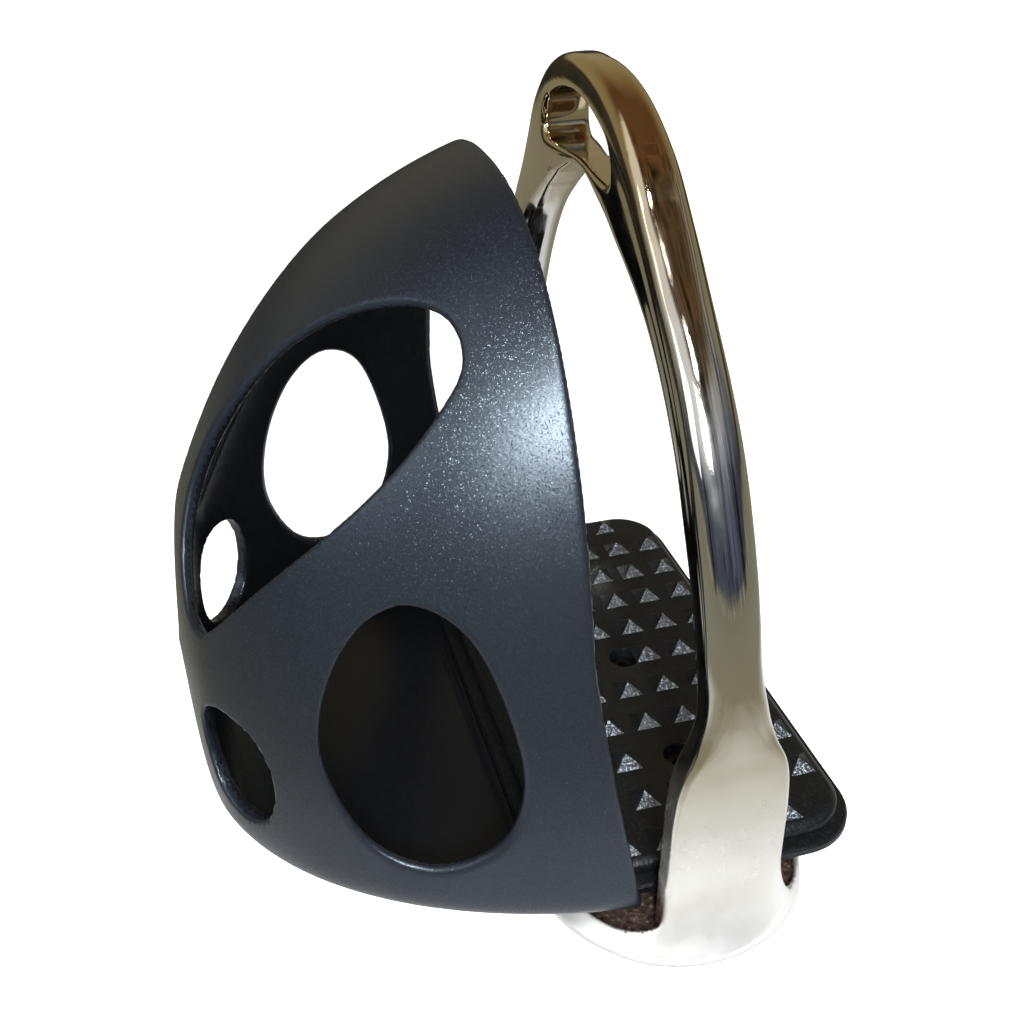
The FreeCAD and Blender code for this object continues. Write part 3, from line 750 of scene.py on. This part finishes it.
def add_stud(bm, x, y):
    """A square pyramid with softened edges; its +X faces take the painted lit copy of the rubber.
    """
    levels = ((STUD_BASE / 2 + 0.22, -0.08), (STUD_BASE / 2, 0.05),
              (0.42, STUD_HEIGHT - 0.26), (0.16, STUD_HEIGHT - 0.05))
    rings = []
    for half, up in levels:
        cut = min(0.16, half * 0.35)
        ring = []
        for sx, sy in ((1, 1), (-1, 1), (-1, -1), (1, -1)):
            first, second = (half, half - cut), (half - cut, half)
            if sx * sy < 0:
                first, second = second, first
            for px, py in (first, second):
                ring.append(bm.verts.new(Vector((x + sx * px, y + sy * py, TREAD_TOP + up)) * MM))
        rings.append(ring)
    for lower, upper in zip(rings, rings[1:]):
        for k in range(8):
            side = [lower[k], lower[(k + 1) % 8], upper[(k + 1) % 8], upper[k]]
            face = bm.faces.new(side)
            out = face.calc_center_median() / MM - Vector((x, y, 0))
            # Faces towards +X get the lit copy of the rubber, which is painted light; the other
            # faces stay dark.
            face.material_index = int(out.x > abs(out.y))
    bm.faces.new(rings[-1])
    bm.faces.new(rings[0][::-1])


def build_pad():
    bm = bmesh.new()
    rings = add_loops(bm, [rounded_loop(inset, height) for inset, height in PAD_SIDE])
    tops, bottoms = [rings[-1]], [rings[0]]
    for centre in SCREWS:
        profile = [(3.1, 4.8), (3.1, 10.2), (3.25, 10.55), (3.55, 10.7)]
        hole = add_loops(bm, [circle(centre, r, z) for r, z in profile], flip=True)
        bottoms.append(hole[0])
        tops.append(hole[-1])
    fill_between(bm, tops, True)
    fill_between(bm, bottoms, False)
    for column in range(-STUD_COLUMNS, STUD_COLUMNS + 1):
        for row in range(STUD_ROWS):
            x, y = column * STUD_ACROSS, (row + FIRST_ROW) * STUD_ALONG
            corner = abs(column) == STUD_COLUMNS and row in (0, STUD_ROWS - 1)
            if corner or any(math.hypot(x - sx, y - sy) < STUD_FREE for sx, sy in SCREWS):
                continue
            add_stud(bm, x, y)
    mesh = bpy.data.meshes.new("tread_pad_rubber")
    bm.to_mesh(mesh)
    bm.free()
    mesh.materials.append(RUBBER)
    mesh.materials.append(LIT_STUD_FACES)
    piece = bpy.data.objects.new("tread_pad_rubber", mesh)
    bpy.context.collection.objects.link(piece)
    for polygon in mesh.polygons:
        polygon.use_smooth = True
    mesh.set_sharp_from_angle(angle=SMOOTH_ANGLE)
    return piece


# ---------------------------------------------------------------- the pieces

CELL = 0.62
CAGE_CELL = CELL * 1.35
points, quads = surface(frame_field, (-74.37, -28, -2), (74, 28, 141), CELL)
iron = make_object("iron_casting", points, quads, CHROME)
true_normals(iron, frame_field)
# The wells take the painted dark shade, which fades out over their edge.
WELL_SHADE_EDGE = 0.6
corners = np.array([vertex.co for vertex in iron.data.vertices]) / MM
hollow = well_field(corners, arch_field(corners))
painted_well_shade = iron.data.attributes.new("casting_and_painted_shade", "FLOAT", "POINT")
painted_well_shade.data.foreach_set("value", np.clip(1.0 - hollow / WELL_SHADE_EDGE, 0, 1).astype(np.float32))

points, quads = surface(cage_field, (-67, -88, 1), (67, 16, 127), CAGE_CELL)
cage = make_object("cage_moulding", points, quads, PLASTIC)
cage.data.materials.append(SHADED_INSIDE_PLASTIC)
true_normals(cage, cage_field)
# Painted shade: faces well inside the outer form take a darker, smoother and less shiny copy of
# the plastic.
middles = np.array([polygon.center for polygon in cage.data.polygons]) / MM
middles[:, 0] = np.abs(middles[:, 0])
within = cage_outside(middles) < -0.75 * WALL
cage.data.polygons.foreach_set("material_index", within.astype(np.int32))
pad = build_pad()

for piece, node, slot in ((iron, "frame", "polished_metal"), (cage, "toe_cage", "black_plastic"),
                          (pad, "tread_pad", "black_rubber")):
    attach(piece, "root")
    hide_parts(node)
for name in ("screws", "washers"):
    for slot in nodes[name].material_slots:
        slot.material = STEEL


# ---------------------------------------------------------------- floor, light and camera

FLOOR_TILE, FLOOR_HALF = 0.6, 8


def build_floor():
    bm = bmesh.new()
    steps = range(-FLOOR_HALF, FLOOR_HALF + 1)
    rows = [[bm.verts.new((x * FLOOR_TILE, y * FLOOR_TILE, 0.0)) for x in steps] for y in steps]
    for lower, upper in zip(rows, rows[1:]):
        for k in range(2 * FLOOR_HALF):
            bm.faces.new([lower[k], lower[k + 1], upper[k + 1], upper[k]])
    mesh = bpy.data.meshes.new("floor")
    bm.to_mesh(mesh)
    bm.free()
    # White to look at; in mirror-like metal it fades to the dim room away from the part.
    material, t, shader = tree("floor_white")
    shader.inputs["Base Color"].default_value = (0.9, 0.9, 0.9, 1)
    shader.inputs["Roughness"].default_value = 0.9
    shader.inputs["Specular IOR Level"].default_value = 0.0
    shader.inputs["Emission Color"].default_value = (1, 1, 1, 1)
    shader.inputs["Emission Strength"].default_value = 0.72
    place = object_coordinates(t)
    away = add(t, "ShaderNodeVectorMath", operation="LENGTH")
    t.links.new(place, away.inputs[0])
    ripple = add(t, "ShaderNodeTexNoise", Scale=55.0, Detail=2.0)
    t.links.new(place, ripple.inputs["Vector"])
    edge = add(t, "ShaderNodeMath", operation="MULTIPLY_ADD")
    edge.inputs[1].default_value = 0.05
    t.links.new(ripple.outputs["Fac"], edge.inputs[0])
    t.links.new(away.outputs["Value"], edge.inputs[2])
    fade = ramp(t, edge.outputs[0], [
        (0.0, (0.96, 0.97, 0.98)), (0.105, (0.93, 0.94, 0.95)), (0.14, (0.50, 0.48, 0.41)),
        (0.175, (0.30, 0.28, 0.20)), (0.50, (0.28, 0.26, 0.18)), (1.0, (0.26, 0.24, 0.17))])
    sides = t.nodes.new("ShaderNodeSeparateXYZ")
    t.links.new(place, sides.inputs[0])
    # Far off on the -X side the reflected floor is nearly dark.
    dim = mapped(t, sides.outputs["X"], -0.9, -0.5, 0.12, 1.0, "SMOOTHSTEP")
    mirrored = t.nodes.new("ShaderNodeEmission")
    t.links.new(fade.outputs[0], mirrored.inputs["Color"])
    t.links.new(dim, mirrored.inputs["Strength"])
    choice = t.nodes.new("ShaderNodeMixShader")
    path = t.nodes.new("ShaderNodeLightPath")
    t.links.new(path.outputs["Is Glossy Ray"], choice.inputs[0])
    t.links.new(shader.outputs[0], choice.inputs[1])
    t.links.new(mirrored.outputs[0], choice.inputs[2])
    t.links.new(choice.outputs[0], t.nodes["Material Output"].inputs["Surface"])
    mesh.materials.append(material)
    floor = bpy.data.objects.new("floor", mesh)
    bpy.context.collection.objects.link(floor)


def area_light(name, place, target, size, watts, color=(1, 1, 1), mirrored=True):
    """A rectangular lamp, which polished metal shows unless mirrored is false."""
    data = bpy.data.lights.new(name, "AREA")
    data.shape = "RECTANGLE"
    data.size, data.size_y = size
    data.energy = watts
    data.color = color
    light = bpy.data.objects.new(name, data)
    light.location = place
    light.rotation_euler = (Vector(target) - Vector(place)).to_track_quat("-Z", "Y").to_euler()
    light.visible_glossy = mirrored
    bpy.context.collection.objects.link(light)


def build_world():
    """The dim room round the part, which the metal reflects: dark blue above a beige horizon,
    pale higher up and brown overhead, with stripes on the +X side and warm plain shades on
    the -X side."""
    world = bpy.data.worlds.new("studio")
    bpy.context.scene.world = world
    world.use_nodes = True
    t = world.node_tree
    background = t.nodes["Background"]
    direction = t.nodes.new("ShaderNodeTexCoord").outputs["Generated"]
    axes = t.nodes.new("ShaderNodeSeparateXYZ")
    t.links.new(direction, axes.inputs[0])
    up = mapped(t, axes.outputs["Z"], -0.2, 1.0)
    plain = ramp(t, up, [
        (0.0, (0.30, 0.28, 0.24)), (0.19, (0.27, 0.25, 0.18)), (0.225, (0.06, 0.067, 0.095)),
        (0.36, (0.08, 0.09, 0.125)), (0.46, (0.16, 0.18, 0.23)), (0.58, (0.34, 0.37, 0.42)),
        (0.66, (0.40, 0.40, 0.40)), (0.74, (0.14, 0.11, 0.07)), (0.90, (0.14, 0.075, 0.035)),
        (1.0, (0.16, 0.085, 0.04))])
    warm = ramp(t, up, [
        (0.0, (0.30, 0.28, 0.24)), (0.09, (0.20, 0.17, 0.11)), (0.15, (0.045, 0.036, 0.028)),
        (0.24, (0.045, 0.036, 0.028)), (0.32, (0.34, 0.30, 0.19)), (0.62, (0.32, 0.27, 0.16)),
        (0.76, (0.26, 0.19, 0.10)), (0.90, (0.14, 0.075, 0.035)), (1.0, (0.16, 0.085, 0.04))])
    # Folds in the room, seen in the legs as stripes.
    spread = add(t, "ShaderNodeMapping")
    spread.inputs["Scale"].default_value = (1.5, 7.0, 1.2)
    t.links.new(direction, spread.inputs["Vector"])
    folds = add(t, "ShaderNodeTexNoise", Scale=1.3, Detail=3.0)
    t.links.new(spread.outputs[0], folds.inputs["Vector"])
    stripe = ramp(t, folds.outputs["Fac"], [
        (0.36, (0.12, 0.12, 0.15)), (0.44, (0.75, 0.72, 0.66)), (0.50, (1.6, 1.55, 1.4)),
        (0.54, (0.35, 0.33, 0.35)), (0.62, (1.9, 1.9, 1.9)), (0.70, (0.6, 0.5, 0.35))])
    striped = add(t, "ShaderNodeMix", data_type="RGBA", blend_type="MULTIPLY")
    striped.inputs["Factor"].default_value = 1.0
    t.links.new(plain.outputs[0], striped.inputs["A"])
    t.links.new(stripe.outputs[0], striped.inputs["B"])

    def share_of(axis, start, end):
        return mapped(t, axes.outputs[axis], start, end, kind="SMOOTHSTEP")

    def product(first, second):
        node = add(t, "ShaderNodeMath", operation="MULTIPLY")
        t.links.new(first, node.inputs[0])
        t.links.new(second, node.inputs[1])
        return node.outputs[0]

    room = add(t, "ShaderNodeMix", data_type="RGBA")
    t.links.new(share_of("X", 0.30, -0.02), room.inputs["Factor"])
    t.links.new(striped.outputs["Result"], room.inputs["A"])
    t.links.new(warm.outputs[0], room.inputs["B"])
    # A white screen above the toe side, towards +X.
    beside = product(share_of("X", -0.25, 0.0), share_of("Y", -0.18, -0.40))
    screen = product(beside, share_of("Z", 0.20, 0.55))
    color = add(t, "ShaderNodeMix", data_type="RGBA")
    color.inputs["B"].default_value = (1.0, 1.0, 1.0, 1)
    t.links.new(screen, color.inputs["Factor"])
    t.links.new(room.outputs["Result"], color.inputs["A"])
    t.links.new(color.outputs["Result"], background.inputs["Color"])
    background.inputs["Strength"].default_value = 1.0


build_floor()
build_world()
area_light("flash", (0.36, -0.09, 0.30), (0.03, -0.03, 0.07), (0.09, 0.09), 2.6)
area_light("overhead", (0.3, 0.0, 1.2), (0.0, 0.0, 0.0), (0.9, 0.9), 6.0, mirrored=False)
area_light("lamp", (0.207, -0.012, 0.294), (0.044, -0.001, 0.105), (0.036, 0.036), 0.20)
area_light("side", (0.5, -0.9, 0.5), (0.0, -0.02, 0.06), (0.4, 0.4), 1.2, (0.9, 0.95, 1.0))

# The photograph's own viewpoint, in metres.
camera_data = bpy.data.cameras.new("camera")
camera_data.lens = 42.35
camera_data.sensor_width = 36.0
camera_data.clip_start = 0.01
camera = bpy.data.objects.new("camera", camera_data)
bpy.context.collection.objects.link(camera)
camera.matrix_world = Matrix((
    (0.2684, -0.5032, 0.8214, 0.1949),
    (0.9632, 0.1520, -0.2216, -0.0711),
    (-0.0134, 0.8507, 0.5255, 0.1781),
    (0, 0, 0, 1)))
bpy.context.scene.camera = camera
bpy.context.scene.view_settings.view_transform = "Standard"
